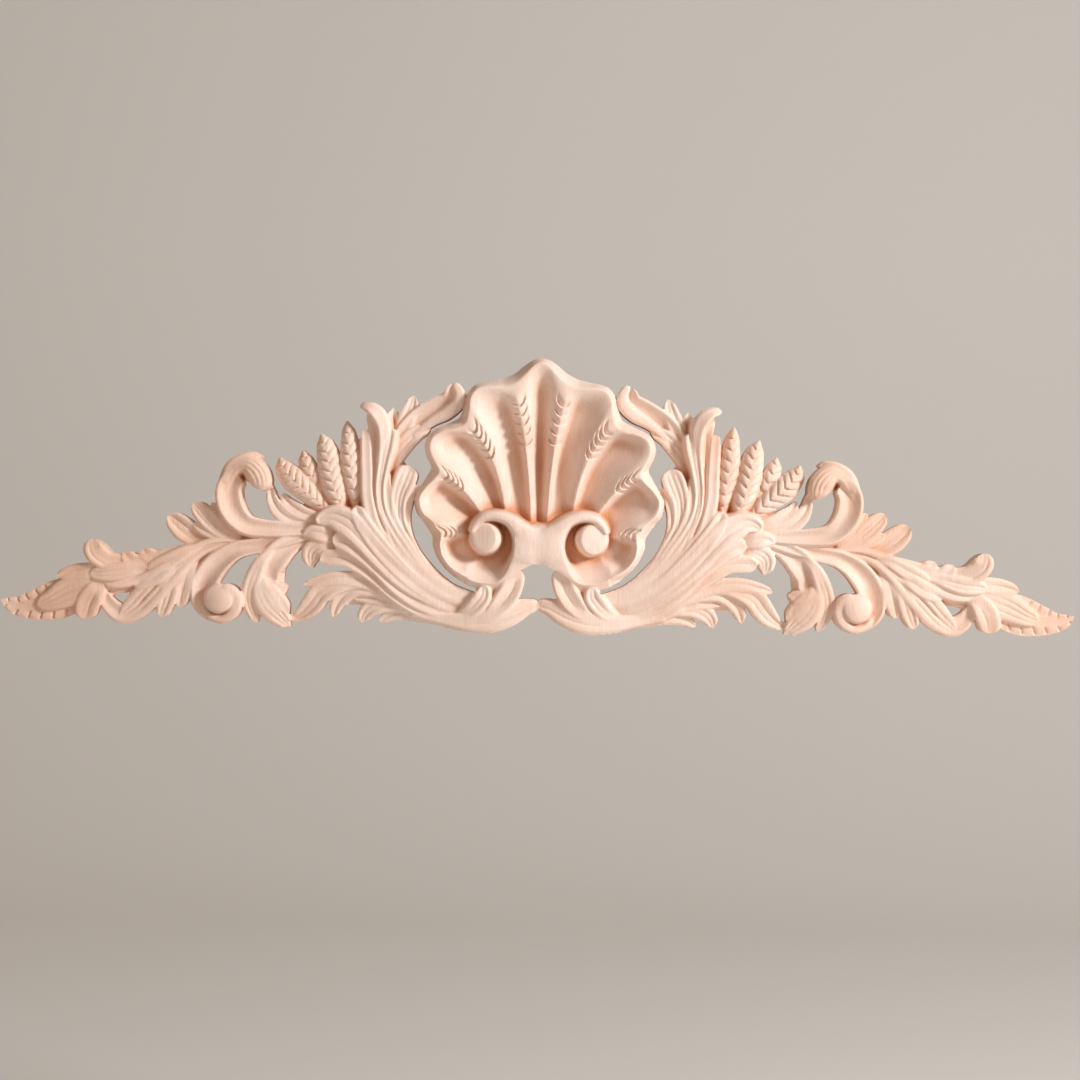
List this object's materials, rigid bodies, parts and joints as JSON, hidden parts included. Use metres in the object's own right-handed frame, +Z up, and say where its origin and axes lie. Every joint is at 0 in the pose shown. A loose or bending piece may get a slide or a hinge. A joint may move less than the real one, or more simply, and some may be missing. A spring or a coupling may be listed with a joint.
{
  "type": "carved wood scroll ornament",
  "caption": "Long flat-backed wood applique: a scallop shell with two volutes between mirrored arms of acanthus leaves, scrolls and seed pods, pierced between the leaves.",
  "frame": {"origin": "on the flat back, on the centre line, behind the bridge between the two volutes of the shell", "axes": "+Z up, +X to the right as seen from the front, +Y out of the flat back towards the wall; the carving faces -Y"},
  "size_m": [1.0704, 0.048, 0.2727],
  "materials": {
    "raw_wood": "carved and sanded, unfinished"
  },
  "bodies": {
    "root": {"carved_ornament": "raw_wood"}
  },
  "joints": []
}
